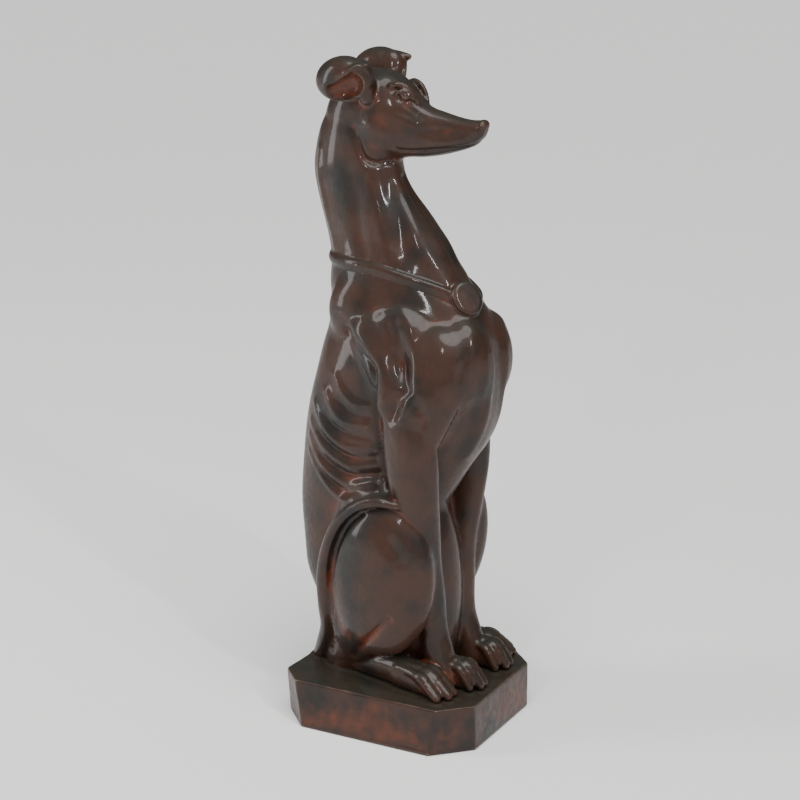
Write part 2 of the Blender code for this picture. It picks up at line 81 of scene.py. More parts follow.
# A smooth curve through rows of numbers, read at evenly spaced places
def smoothRows(rows, count):
    rows = np.array(rows, float)
    padded = np.vstack([2 * rows[0] - rows[1], rows, 2 * rows[-1] - rows[-2]])
    places = np.linspace(0, len(rows) - 1, count)
    index = np.minimum(places.astype(int), len(rows) - 2)
    t = (places - index)[:, None]
    a, b, c, d = (padded[index + k] for k in range(4))
    return 0.5 * (2 * b + (c - a) * t + (2 * a - 5 * b + 4 * c - d) * t**2 + (3 * b - a - 3 * c + d) * t**3)


# 0 below low, 1 above high, and an even curve between them
def smoothStep(value, low, high):
    t = np.clip((value - low) / (high - low), 0, 1)
    return t * t * (3 - 2 * t)


def bothSides(mirrored):
    return (1, -1) if mirrored else (1,)


# Where a mesh's vertices are, and which way they face
def coordinates(mesh):
    points = np.empty(len(mesh.vertices) * 3)
    mesh.vertices.foreach_get("co", points)
    return points.reshape(-1, 3)


def facings(mesh):
    normals = np.empty(len(mesh.vertices) * 3)
    mesh.vertices.foreach_get("normal", normals)
    return normals.reshape(-1, 3)


# Points and faces of a ball of radius 1 that stands on its pole
def ballForm(around, rings):
    form = bmesh.new()
    bmesh.ops.create_uvsphere(form, u_segments=around, v_segments=rings, radius=1)
    points = np.array([v.co[:] for v in form.verts])
    faces = [[v.index for v in f.verts] for f in form.faces]
    form.free()
    return points, faces


# Keep one closed form, and its mirror image across the dog's middle if there is one
def addForm(clay, points, faces, mirrored):
    clay.append((points, faces))
    if mirrored:
        clay.append((points * (-1, 1, 1), [f[::-1] for f in faces]))


# One ellipsoid of clay, turned by degrees about X, Y and Z
def addBall(clay, centre, radii, turn=(0, 0, 0), mirrored=False):
    points, faces = ballForm(36, 24)
    rotation = np.array(Euler([math.radians(a) for a in turn]).to_matrix())
    addForm(clay, (points * np.array(radii)) @ rotation.T + np.array(centre), faces, mirrored)


# A roll of clay with round ends through stations of x, y, z, half width across and half depth
def addLimb(clay, stations, mirrored=False, across=(1, 0, 0), count=18, step=3.0):
    stations = np.array([list(s) + [s[3]] * (5 - len(s)) for s in stations], float)
    run = np.linalg.norm(np.diff(stations[:, :3], axis=0), axis=1).sum()
    rows = smoothRows(stations, max(5, int(run / step)))
    tangents = np.gradient(rows[:, :3], axis=0)
    tangents /= np.linalg.norm(tangents, axis=1)[:, None]
    sides = np.array(across, float) - tangents * (tangents @ np.array(across, float))[:, None]
    sides /= np.linalg.norm(sides, axis=1)[:, None]
    rings = [(0, a) for a in (-90, -80, -55, -28)]
    rings += [(k, 0) for k in range(len(rows))]
    rings += [(len(rows) - 1, a) for a in (28, 55, 80, 90)]
    points, faces = ballForm(count, len(rings) - 1)
    level = np.rint(np.arccos(np.clip(points[:, 2], -1, 1)) / math.pi * (len(rings) - 1)).astype(int)
    around = np.arctan2(points[:, 1], points[:, 0])
    row = np.array([r for r, _ in rings])[level]
    lean = np.radians([a for _, a in rings])[level]
    wide, thick = rows[row, 3], rows[row, 4]
    along = np.minimum(wide, thick) * np.sin(lean)
    deep = np.cross(tangents, sides)[row]
    placed = rows[row, :3] + tangents[row] * along[:, None]
    placed += sides[row] * (wide * np.cos(lean) * np.cos(around))[:, None]
    placed -= deep * (thick * np.cos(lean) * np.sin(around))[:, None]
    addForm(clay, placed, faces, mirrored)


# A ball of clay drawn out over rings that have as many points each
def addLoft(clay, rings):
    count = len(rings[0])
    points, faces = ballForm(count, len(rings) + 1)
    level = np.rint(np.arccos(np.clip(points[:, 2], -1, 1)) / math.pi * (len(rings) + 1)).astype(int)
    around = np.rint(np.arctan2(points[:, 1], points[:, 0]) / (2 * math.pi) * count).astype(int) % count
    first, last = np.mean(rings[0], axis=0), np.mean(rings[-1], axis=0)
    places = np.array([[first] * count] + [list(ring) for ring in rings] + [[last] * count], float)
    addForm(clay, places[level, around], faces, False)


# Pairs across and along an egg-shaped section that is widest at middle
def eggRing(halfWidth, low, high, middle, squareness, count=48):
    points = []
    for k in range(count):
        angle = 2 * math.pi * k / count
        c, s = math.cos(angle), math.sin(angle)
        across = halfWidth * math.copysign(abs(c) ** (2 / squareness), c)
        reach = (high - middle) if s > 0 else (middle - low)
        points.append((across, middle + reach * math.copysign(abs(s) ** (2 / squareness), s)))
    return points


# The trunk at each height: z, spine y, breast y, half width, y where it is widest, squareness.
trunk = [
    (-14, 102, 10, 50, 62, 2.2),
    (30, 103, 4, 52, 62, 2.2),
    (70, 108, -2, 54, 62, 2.2),
    (110, 131, -8, 50, 60, 2.2),
    (150, 137.5, -16, 47, 60, 2.2),
    (190, 141, -36, 47, 58, 2.2),
    (225, 140, -58, 51, 52, 2.1),
    (255, 136, -76, 56, 46, 2.1),
    (290, 130, -98, 61, 38, 2.2),
    (325, 121, -109, 62, 28, 2.5),
    (360, 112, -112, 60, 18, 2.5),
    (390, 106, -111, 57, 8, 2.3),
    (415, 99, -107, 54, 0, 2.2),
    (440, 97, -97, 51, 2, 2.2),
    (465, 99, -79, 48, 12, 2.1),
    (490, 97, -61, 43.5, 22, 2.1),
    (515, 102, -48, 39, 30, 2.1),
    (540, 109, -26, 37, 42, 2.1),
    (565, 116, -3, 35, 52, 2.1),
    (590, 120, 10, 35, 60, 2.1),
    (615, 117, 13, 35, 60, 2.1),
    (640, 110, 15, 34, 60, 2.1),
    (662, 98, 20, 30, 58, 2.1),
]

# The head at each station from nose to nape: y, crown z, jaw z, half width, z of the widest, squareness.
head = [
    (-96, 651, 643, 6, 647, 2.2),
    (-93, 654, 637, 9.5, 645, 2.5),
    (-87, 655, 630, 11.5, 643, 2.6),
    (-80, 654, 625, 12.5, 641, 2.5),
    (-63, 656, 618.7, 14.5, 638, 2.5),
    (-42, 661, 613, 17, 636, 2.5),
    (-27, 665, 610.3, 19.5, 637, 2.4),
    (-16, 672, 608.8, 22, 642, 2.3),
    (-6, 682, 608.4, 26, 648, 2.2),
    (6, 694, 607, 30, 652, 2.2),
    (20, 702, 605, 33, 654, 2.2),
    (36, 705, 603, 34.5, 654, 2.2),
    (54, 704, 603, 34, 654, 2.2),
    (72, 698, 606, 32, 652, 2.2),
    (88, 684, 612, 27, 648, 2.1),
    (99, 666, 622, 17, 644, 2.0),
]


def addTrunk(clay):
    rings = []
    for z, back, front, half, middle, square in smoothRows(trunk, 90):
        rings.append([(x, y, z) for x, y in eggRing(half, front, back, middle, square)])
    addLoft(clay, rings)


def addHead(clay):
    rings = []
    for y, top, bottom, half, middle, square in smoothRows(head, 70):
        rings.append([(x, y, z) for x, z in eggRing(half, bottom, top, middle, square)])
    addLoft(clay, rings)


# Shoulder blade, upper arm and the breast muscle on each side
def addShoulders(clay):
    addBall(clay, (34, 42, 434), (20, 44, 44), mirrored=True)
    addBall(clay, (45, -10, 405), (22, 50, 44), mirrored=True)
    addBall(clay, (42, -58, 386), (28, 44, 46), (14, 0, 0), True)
    addBall(clay, (28, -84, 384), (28, 33, 55), mirrored=True)
    addLimb(clay, [(50, -62, 380, 22, 40), (58, -50, 345, 22, 40), (62, -40, 310, 21, 34)], True)
    blade = [(50, 30, 420, 15, 20), (60, 2, 384, 15, 22), (66, -14, 350, 14, 20), (66, -20, 318, 13, 18)]
    addLimb(clay, blade, True)


def addForelegs(clay):
    addLimb(
        clay,
        [
            (60, -34, 356, 12, 24),
            (64, -34, 324, 18, 33),
            (66, -38, 280, 21, 33),
            (64, -41, 240, 20, 30),
            (54, -43, 195, 17.5, 25),
            (44, -45, 150, 15.5, 20),
            (38, -48, 105, 15.5, 19),
            (36, -52, 70, 14.5, 17),
            (36, -58, 42, 15.5, 19),
            (36, -64, 14, 18, 22),
        ],
        True,
    )


# Thigh and folded lower leg, an egg that leans on the flank. The left one leans further forward
def addHaunches(clay):
    addBall(clay, (-67, -2, 132), (29.5, 66, 98), (5, 0, 0))
    addBall(clay, (71, -12, 139), (29.5, 52, 97), (13, 0, 0))
    addBall(clay, (50, 34, 92), (28, 46, 78), mirrored=True)
    addBall(clay, (44, 14, 168), (30, 58, 84), mirrored=True)
    addLimb(clay, [(40, 58, 16, 14, 16), (50, 34, 34, 15, 18), (62, 8, 56, 18, 22)], True, across=(0, 0, 1))


# The wall behind the forelegs that joins breast, belly and plinth
def addBelly(clay):
    addBall(clay, (0, -4, 100), (48, 62, 150))


# Each paw in drawn units: its wrist, the tips of its middle toes, width and height. Hind paws first
paws = [
    ((-58, -22), (-68, -90), 43, 32),
    ((62, -30), (76, -97), 43, 31),
    ((-32, -68), (-26, -110), 36, 36),
    ((39, -68), (42, -110), 38, 36),
]
toeRow = (-1.5, -0.5, 0.5, 1.5)


# A place along a toe, from 0 at the wrist to 1 at the tip. The outer toes are set back
def alongToe(wrist, toes, width, toe, along):
    side = toe * width / 4 * (0.72 + 0.36 * along)
    back = 4.5 * (toe * toe - 0.25)
    return wrist[0] + (toes[0] - wrist[0]) * along + side, wrist[1] + (toes[1] + back - wrist[1]) * along


# Four toes side by side, each with a knuckle and a tip on the ground
def addPaw(clay, wrist, toes, width, height):
    thick = width / 8 + 0.8
    shape = [(0, 0.94, 0.8), (0.35, 0.92, 0.8), (0.64, 0.8, 1.14), (0.86, 0.44, 1.04), (1, 0.2, 0.95)]
    for toe in toeRow:
        course = []
        for along, rise, size in shape:
            x, y = alongToe(wrist, toes, width, toe, along)
            course.append((x, y, height * rise * (1 - 0.05 * toe * toe), thick * size))
        addLimb(clay, course, count=14)
    middle = ((wrist[0] + toes[0]) / 2, (wrist[1] + toes[1]) / 2)
    base = [(wrist[0], wrist[1], height * 0.5, width * 0.4, height * 0.52)]
    base.append((middle[0], middle[1], height * 0.42, width * 0.44, height * 0.5))
    base.append((toes[0], toes[1] + 18, height * 0.2, width * 0.42, height * 0.26))
    addLimb(clay, base)


# Hind feet lie flat from hock to toes, turned out. Forefeet stand between them
def addFeet(clay):
    hock = [(38, 56, 14, 13, 15), (48, 22, 16, 13, 17), (56, -12, 19, 15, 19), (61, -34, 18, 17, 18)]
    addLimb(clay, hock, True)
    for paw in paws:
        addPaw(clay, *paw)


# The tail leaves the rump low, and lies up and over the right thigh to the knee
def addTail(clay):
    course = [
        (-18, 107, 0, 13),
        (-32, 95, 22, 12),
        (-46, 82, 52, 11.5),
        (-59, 78, 84, 11),
        (-66, 76, 122, 10.5),
        (-73, 66, 160, 9.5),
        (-78, 48, 196, 8.5),
        (-83, 22, 220, 7.5),
        (-84, -4, 229, 6.5),
        (-80, -27, 226, 4.5),
    ]
    addLimb(clay, course, count=16)


# Ears folded back, each a dome with its point to the front. Their mouths are hollowed later
def addEars(clay):
    for x, y, z in ((-42, 61, 695.5), (44, 64, 698)):
        side = math.copysign(1, x)
        addBall(clay, (x, y, z), (19, 33, 25), (-12, 0, 0))
        addBall(clay, (x - 4 * side, y - 18, z + 1), (13, 18, 22), (8, 0, 0))
        tip = 38 if side > 0 else 30
        out = x + 2 * side
        addLimb(clay, [(x, y - 12, z + 13, 10), (out, y - 24, z + 14, 8), (out, y - tip, z + 15, 4)])
        addLimb(clay, [(x * 0.78, y - 26, z - 20, 9), (x * 0.8, y - 24, z - 4, 11)])


# Eyes with their lids and brows, the nose pad, and the rolled rims of the ears
def addFace(clay):
    addBall(clay, (19, -5, 677), (5, 5.5, 4.5), mirrored=True)
    lid = [(24, 4, 680, 1.8), (22.5, -1, 683.5, 2.3), (19, -8, 681, 2.2), (16.5, -13, 674, 1.6)]
    brow = [(22, 12, 688, 3), (19, 4, 690, 3.5), (16, -6, 686, 3.3), (14, -13, 677, 2.6), (11, -18, 668, 1.6)]
    rim = [(57, 76, 689, 2.4), (55, 64, 694, 3), (57, 48, 704, 3.2), (51, 36, 711, 3), (43, 29, 705, 2.6)]
    rim.append((37, 27, 692, 2.6))
    addLimb(clay, lid, True, count=12)
    addLimb(clay, brow, True, count=12)
    addLimb(clay, rim, True, count=12)
    addBall(clay, (0, -91, 649), (9.5, 6, 6.5), (20, 0, 0))


# A strap round the root of the neck, and the tag that hangs from it
def addCollar(clay, skin):
    wide = collarWidth / 2 / unit
    thick = collarThickness / unit
    course = [(0, 98, 491), (-20, 92, 490), (-38, 56, 489), (-42, 25, 487), (-41, -10, 480), (-33, -43, 470)]
    course += [(-21, -70, 458), (0, -82, 450)]
    loop = course + [(-x, y, z) for x, y, z in course[-2:0:-1]]
    rows = smoothRows(loop + loop[:2], 90)
    stations = [tuple(laidOn(skin, row, 0.6)) + (wide, thick) for row in rows]
    addLimb(clay, stations, across=(0, 0, 1), count=12)
    facing = Vector((-0.62, -0.68, 0.4)).normalized()
    hang = Vector((0.05, -0.55, -0.85))
    hang = (hang - facing * facing.dot(hang)).normalized()
    turn = Matrix((hang.cross(facing), facing, hang)).transposed()
    points, faces = ballForm(36, 24)
    rim = np.hypot(points[:, 0], points[:, 2])
    points[:, 1] = np.sign(points[:, 1]) * np.abs(points[:, 1]) ** 0.5
    points[:, 1] *= 0.78 + 0.22 * smoothStep(rim, 0.6, 0.82)
    points *= np.array((tagWidth / 2, tagThickness, tagLength / 2)) / unit
    addForm(clay, points @ np.array(turn).T + np.array(laidOn(skin, (-17, -79, 456), 4)), faces, False)


# The nearest place on the skin, raised a little above it
def laidOn(skin, point, lift):
    place, normal, _, _ = skin.find_nearest(Vector(point[:3]))
    return place + normal * lift


def skinOf(mesh):
    return BVHTree.FromPolygons([v.co[:] for v in mesh.vertices], [list(p.vertices) for p in mesh.polygons])


# Lines raised from the skin or cut in: points, half width, height (below zero cuts in), both sides.
carving = [
    # ribs, from the spine down and forward to the arm
    ([(-50, 66, 361), (-57, 55, 345), (-61, 39, 333), (-60, 21, 332)], 6, 2.6, True),
    ([(-50, 78, 340), (-56, 66, 321), (-60, 50, 310), (-61, 23, 308)], 6, 2.8, True),
    ([(-44, 96, 323), (-52, 84, 303), (-56, 68, 288), (-58, 48, 280), (-57, 12, 282)], 6, 3.0, True),
    ([(-42, 103, 300), (-51, 87, 278), (-55, 66, 264), (-56, 45, 256), (-55, 14, 261)], 6, 3.0, True),
    ([(-41, 106, 282), (-49, 91, 255), (-52, 71, 240), (-52, 47, 233), (-50, 13, 238)], 6, 3.0, True),
    ([(-38, 108, 262), (-48, 92, 238), (-49, 76, 222), (-49, 58, 212), (-50, 40, 212)], 5, 2.6, True),
    # hollows between the ribs, deepest near the arm
    ([(-58, 60, 334), (-61, 42, 321), (-60, 20, 321)], 5, -2.6, True),
    ([(-54, 78, 312), (-59, 58, 298), (-59, 18, 295)], 5, -3.0, True),
    ([(-50, 90, 290), (-56, 68, 275), (-57, 44, 267), (-56, 14, 271)], 5, -3.0, True),
    ([(-47, 95, 266), (-54, 70, 251), (-54, 44, 244), (-53, 12, 250)], 5, -3.0, True),
    ([(-46, 96, 246), (-51, 74, 229), (-51, 50, 222), (-50, 12, 226)], 5, -2.6, True),
    # the groove behind the arm
    (
        [(-50, 52, 415), (-62, 20, 393), (-68, 4, 376), (-66, 8, 340), (-62, 7, 306), (-52, -6, 240)],
        7,
        -6,
        True,
    ),
    # arm muscles and elbow
    ([(-60, -12, 432), (-65, -22, 412), (-66, -25, 392), (-70, -30, 376), (-74, -38, 360)], 8, -4, True),
    ([(-57, -16, 449), (-62, -32, 435), (-66, -38, 414), (-69, -44, 388), (-75, -50, 362)], 8, 1.8, True),
    ([(-76, -26, 352), (-79, -20, 330)], 8, -3.5, True),
    ([(-76, -42, 352), (-79, -33, 328)], 7, 2.5, True),
    ([(-77, -52, 345), (-74, -60, 333), (-72, -52, 318)], 9, -3, True),
    ([(-70, -10, 346), (-66, 2, 330)], 10, 3, True),
    # breast muscles and keel
    ([(-50, -97, 405), (-58, -92, 377), (-58, -87, 352)], 6, -2, True),
    ([(-46, -96, 352), (-46, -84, 329), (-44, -68, 304)], 5, 2.2, True),
    ([(-16, -104, 420), (-19, -108, 390), (-18, -105, 358), (-15, -95, 320), (-13, -75, 285)], 8, 3, True),
    ([(-34, -102, 415), (-37, -104, 385), (-34, -100, 345), (-30, -88, 312), (-24, -66, 280)], 10, -3, True),
    # neck cords and the hollow between them
    ([(-29, 34, 592), (-32, 24, 562), (-36, 17, 536), (-40, 8, 506)], 11, 2.2, True),
    ([(-30, 56, 590), (-34, 50, 560), (-39, 44, 525), (-42, 36, 503)], 12, -2.4, True),
    ([(-20, 18, 596), (-24, 8, 572), (-31, -4, 536), (-35, -14, 505)], 12, -2.2, True),
    ([(-8, 9, 599), (-13, 0, 572), (-23, -17, 536), (-27, -34, 505), (-20, -56, 478)], 12, 2.4, True),
    ([(0, 2, 585), (0, -22, 545), (0, -48, 510), (0, -66, 478)], 7, -3.5, False),
    ([(-24, 100, 613), (-24, 100, 579), (-26, 92, 540), (-30, 82, 504)], 6, 2.5, True),
    # jaw, mouth and muzzle
    ([(-34, 52, 640), (-33, 46, 622), (-32, 40, 609), (-25, 30, 603), (-13, 15, 604)], 5, -4.5, True),
    ([(-35, 28, 664), (-34, 32, 642), (-30, 24, 620)], 12, 2.2, True),
    ([(-22, 6, 622), (-20, -2, 616), (-17, -21, 618), (-14, -51, 622), (-9, -82, 626)], 3, -2.6, True),
    ([(-20, 6, 614), (-23, 5, 620), (-23, -3, 626)], 4, 2.6, True),
    ([(-20, -26, 640), (-17, -45, 642), (-14, -66, 643)], 7, -2.0, True),
    ([(-18, -40, 628), (-16, -58, 630), (-13, -74, 633)], 7, 2.2, True),
    ([(-31, 30, 645), (-29, 14, 636), (-25, 0, 634)], 9, 2.0, True),
    # crown
    ([(0, 30, 706), (0, 10, 696), (0, -8, 684)], 7, -2.0, False),
    # haunch: the groove above the hock, the calf, and the crease along the tail
    ([(-92, -22, 93), (-90, -5, 74), (-80, 16, 52), (-64, 39, 27)], 6, -5, True),
    ([(-89, -17, 193), (-90, -26, 180), (-90, -34, 165)], 13, -2.5, True),
    (
        [(-80, 20, 212), (-78, 38, 192), (-76, 53, 160), (-73, 61, 122), (-68, 62, 84), (-48, 78, 22)],
        6,
        -5,
        True,
    ),
    ([(-76, 52, 120), (-70, 58, 84), (-60, 64, 46)], 5, 2.5, True),
    # spine
    ([(0, 97, 450), (0, 118, 340), (0, 136, 240), (0, 132, 130)], 8, 1.5, False),
    ([(14, 96, 450), (16, 116, 340), (18, 132, 240), (18, 128, 130)], 8, -1.5, True),
]

# Finer lines, too narrow for the solids: points, half width, height, both sides
fineCarving = [
    # mouth and lips
    (
        [(-23, 5, 622), (-20, -3, 617), (-17, -21, 618), (-14, -51, 622), (-9, -82, 626), (-3, -92, 631)],
        1.6,
        -1.8,
        True,
    ),
    ([(-20, -3, 621), (-17, -21, 622), (-14, -51, 626), (-9, -80, 630)], 2.2, 0.9, True),
    ([(-20, -3, 613), (-17, -21, 614), (-13, -51, 618), (-8, -78, 623)], 2.2, 0.8, True),
    # nose pad
    ([(-8, -88, 652), (-9, -91, 646), (-6, -94, 640)], 2.2, -1.0, True),
    ([(0, -97, 649), (0, -97, 641), (0, -95, 634)], 1.4, -1.0, False),
    # the crease over the lid, and the folds from the eye to the muzzle
    ([(-26, 8, 683), (-24, -1, 687), (-20, -9, 683), (-17, -15, 675)], 1.6, -1.3, True),
    ([(-22, -8, 666), (-19, -16, 661), (-18, -26, 656)], 3.5, -1.6, True),
    ([(-27, 2, 662), (-24, -10, 658), (-21, -20, 654)], 3.5, -1.4, True),
    # the jaw and the corner of the mouth
    ([(-35, 53, 637), (-33, 46, 622), (-32, 41, 609), (-26, 30, 603), (-14, 15, 604)], 1.8, -1.5, True),
    ([(-17, 5, 614), (-22, 6, 619), (-22, -1, 626), (-19, -10, 628)], 1.8, -1.3, True),
    # both edges of the strap, and its joint
    (
        [(-17, 90, 499), (-37, 56, 498), (-41, 25, 496), (-40, -9, 488), (-31, -43, 476), (-19, -69, 461)],
        1.5,
        -1.7,
        True,
    ),
    (
        [(-20, 87, 483), (-38, 56, 481), (-43, 24, 479), (-42, -11, 474), (-35, -44, 464), (-24, -71, 451)],
        1.5,
        -2.0,
        True,
    ),
    ([(-43, 24, 494), (-43, 25, 480)], 1.8, -1.4, True),
]


# Creases over the toes of one paw, behind the knuckles and nearer the tips
def toeCreases(wrist, toes, width, height):
    lines = []
    for toe in toeRow:
        for along, rise, reach in ((0.48, 1.05, 2.6), (0.84, 0.72, 1.8)):
            x, y = alongToe(wrist, toes, width, toe, along)
            low, half = height * rise, width / 9
            crease = [(x - half, y + 1, low), (x, y, low + 3), (x + half, y + 1, low)]
            lines.append((crease, reach, -1.5, False))
    return lines


for paw in paws:
    fineCarving += toeCreases(*paw)

# Hollows pressed into the skin: centre, half sizes, turn in degrees and the way in, both sides.
hollows = [
    # the mouth of the ear
    ((-64, 51, 684), (26, 27, 18.5), (-32, 0, 0), (1, 0, 0)),
    # the eye socket
    ((-26, -4, 677.5), (7.5, 8.5, 6.5), (-15, 0, 0), (1, 0.3, 0)),
]


# Skin inside an egg shape is pressed to the egg's far wall, which leaves a crisp rim
def press(points, side, centre, radii, turn, way):
    mirror = np.array((side, 1, 1))
    spin = np.array(Euler([math.radians(t) for t in turn]).to_matrix())
    local = (points * mirror - np.array(centre)) @ spin / np.array(radii)
    step = np.array(way) @ spin / np.array(radii)
    along = local @ step
    reach = along**2 - (step @ step) * ((local**2).sum(axis=1) - 1)
    inside = (local**2).sum(axis=1) < 1
    far = (np.sqrt(np.maximum(reach, 0)) - along) / (step @ step)
    points[inside] += np.outer(far[inside], np.array(way) * mirror)


# Raise and cut the lines along the skin's normals, and push the hollows in
def carve(mesh, lines, eggs):
    skin = skinOf(mesh)
    points, normals = coordinates(mesh), facings(mesh)
    moved = np.zeros_like(points)
    for line, width, height, mirrored in lines:
        for side in bothSides(mirrored):
            rows = np.array([laidOn(skin, (p[0] * side, p[1], p[2]), 0) for p in line])
            rows = smoothRows(rows, max(8, len(rows) * 8))
            near = np.all((points > rows.min(0) - 2.2 * width) & (points < rows.max(0) + 2.2 * width), axis=1)
            index = np.nonzero(near)[0]
            if len(index) == 0:
                continue
            gaps = np.linalg.norm(points[index][:, None, :] - rows[None, :, :], axis=2)
            nearest = gaps.argmin(axis=1)
            gap = gaps[np.arange(len(index)), nearest]
            ends = np.sin(np.pi * np.clip((nearest + 1) / (len(rows) + 1), 0.12, 0.88)) ** 0.5
            lift = height * np.exp(-1.6 * (gap / width) ** 2) * ends
            moved[index] += normals[index] * lift[:, None]
    points += moved
    for egg in eggs:
        for side in (1, -1):
            press(points, side, *egg)
    mesh.vertices.foreach_set("co", points.ravel())
    mesh.update()
    return mesh


# The clay as one skin: a voxel remesh joins what overlaps, and smoothing softens the joins
def fused(clay, voxel, reach):
    points, faces, first = [], [], 0
    for formPoints, formFaces in clay:
        faces += [[first + k for k in f] for f in formFaces]
        points.append(formPoints)
        first += len(formPoints)
    mesh = bpy.data.meshes.new("clay")
    mesh.from_pydata(np.concatenate(points), [], faces)
    body = bpy.data.objects.new("clay", mesh)
    bpy.context.scene.collection.objects.link(body)
    remesh = body.modifiers.new("join", "REMESH")
    remesh.mode = "VOXEL"
    remesh.voxel_size = voxel
    soften = body.modifiers.new("soften", "SMOOTH")
    soften.factor = 0.5
    soften.iterations = max(1, round((reach / voxel) ** 2))
    graph = bpy.context.evaluated_depsgraph_get()
    result = bpy.data.meshes.new_from_object(body.evaluated_get(graph))
    bpy.data.objects.remove(body)
    return result


# A finished mesh as one form that more clay can be laid on
def asClay(mesh):
    return [(coordinates(mesh), [list(p.vertices) for p in mesh.polygons])]


# How far each stage is softened after its remesh, in drawn units
softening = {"body": 14, "limbs": 6.9, "details": 2.8, "face": 2.2}


def modelFigure(rough, fine):
    clay = []
    addTrunk(clay)
    addShoulders(clay)
    addHaunches(clay)
    addBelly(clay)
    clay = asClay(fused(clay, rough, softening["body"]))
    addHead(clay)
    addForelegs(clay)
    mass = fused(clay, rough, softening["limbs"])
    clay = asClay(mass)
    skin = skinOf(mass)
    addFeet(clay)
    addTail(clay)
    addEars(clay)
    addCollar(clay, skin)
    mass = carve(fused(clay, fine, softening["details"]), carving + fineCarving, hollows)
    clay = asClay(mass)
    addFace(clay)
    return fused(clay, fine, softening["face"])


# The same form with fewer triangles, as one closed mesh
def thinned(mesh, triangles):
    body = bpy.data.objects.new("thin", mesh)
    bpy.context.scene.collection.objects.link(body)
    thin = body.modifiers.new("thin", "DECIMATE")
    mesh.calc_loop_triangles()
    thin.ratio = triangles / len(mesh.loop_triangles)
    graph = bpy.context.evaluated_depsgraph_get()
    result = bpy.data.meshes.new_from_object(body.evaluated_get(graph))
    bpy.data.objects.remove(body)
    return result


# The figure at its real size, standing on the plinth
def placed(mesh):
    mesh.transform(Matrix.Translation((0, 0, sizes["plinthHeight"])) @ Matrix.Scale(unit, 4))
    return mesh


def meshFrom(form, name):
    mesh = bpy.data.meshes.new(name)
    form.to_mesh(mesh)
    form.free()
    return mesh


# How far each point lies below (above 0) or proud of (below 0) its surroundings, in metres
def hollowness(mesh, rounds):
    points = coordinates(mesh)
    ends = np.empty(len(mesh.edges) * 2, int)
    mesh.edges.foreach_get("vertices", ends)
    a, b = ends.reshape(-1, 2).T
    count = np.bincount(a, minlength=len(points)) + np.bincount(b, minlength=len(points))
    soft = points.copy()
    for _ in range(rounds):
        total = np.empty_like(soft)
        for axis in range(3):
            total[:, axis] = np.bincount(a, soft[b, axis], len(points))
            total[:, axis] += np.bincount(b, soft[a, axis], len(points))
        soft = 0.4 * soft + 0.6 * total / count[:, None]
    return np.einsum("ij,ij->i", soft - points, facings(mesh))


# The patina reads these attributes: name, rounds of smoothing, and the depth in metres that counts as full
hollowKinds = [("fineHollow", 6, 0.0012), ("broadHollow", 60, 0.003)]


def markHollows(mesh):
    for name, rounds, scale in hollowKinds:
        layer = mesh.attributes.new(name, "FLOAT", "POINT")
        value = 0.5 + 0.5 * np.clip(hollowness(mesh, rounds) / scale, -1, 1)
        layer.data.foreach_set("value", value.astype(np.float32))


def linear(hexColour):
    values = [int(hexColour[k : k + 2], 16) / 255 for k in (1, 3, 5)]
    return tuple(v / 12.92 if v <= 0.04045 else ((v + 0.055) / 1.055) ** 2.4 for v in values) + (1,)


# One node, with its settings and with a value or a link for each input named
def addNode(tree, kind, settings, inputs):
    node = tree.nodes.new(kind)
    for name, value in settings.items():
        setattr(node, name, value)
    for place, value in inputs.items():
        if isinstance(value, bpy.types.NodeSocket):
            tree.links.new(value, node.inputs[place])
        else:
            node.inputs[place].default_value = value
    return node


# The stain and the lacquer over it. Lengths are in metres
patina = {
    "umber": "#361f14",
    # the darker stain, also used as the painted shade in the narrowest hollows
    "deepUmber": "#15110d",
    "rust": "#5c2a15",
    # pale edge colour, partly wear and partly painted highlight
    "edgeWearAndHighlight": "#87705d",
    # grey: settled dust and painted sheen on faces turned up
    "grey": "#2b2b24",
    "cloud": 0.05,
    "mottle": 0.012,
    "stroke": 0.004,
    "grit": 0.0007,
    "coat": 0.3,
    "coatRoughness": 0.1,
}

# Where the stain is rubbed back to rust: place in drawn units, reach, strength
rustSpots = [
    ((-84, 44, 60), 30, 0.9), ((-84, 10, 66), 26, 0.8), ((-84, -40, 84), 26, 0.6),
    ((-70, 58, 120), 22, 0.8), ((-60, 40, 250), 30, 0.4), ((-34, 30, 652), 30, 0.6),
    ((-34, 34, 622), 24, 0.55), ((-55, 52, 686), 24, 1.0), ((-20, -2, 668), 12, 0.5),
    ((-14, -60, 636), 20, 0.35), ((-46, -60, 330), 24, 0.5), ((0, -70, 260), 40, 0.4),
    ((-46, -60, 130), 30, 0.35), ((-74, -60, 2), 34, 0.4), ((-40, -112, 1), 26, 0.4),
    ((55, 52, 686), 26, 1.0), ((60, 40, 244), 40, 0.45), ((84, 20, 60), 40, 0.7),
]


# How far the stain is rubbed back to rust: at the given spots, and along the plinth's sides, more towards
# their foot
def markStain(mesh, spots):
    points = coordinates(mesh)
    amount = np.zeros(len(points))
    for place, reach, strength in spots:
        gap = np.linalg.norm(points - np.array(spot(*place)), axis=1)
        amount = np.maximum(amount, strength * np.exp(-((gap / (reach * unit)) ** 2)))
    low = 1 - points[:, 2] / sizes["plinthHeight"]
    amount = np.maximum(amount, (0.34 + 0.16 * low) * (low > 0.05) * (low < 0.98))
    mesh.attributes.new("rubbed", "FLOAT", "POINT").data.foreach_set("value", amount.astype(np.float32))
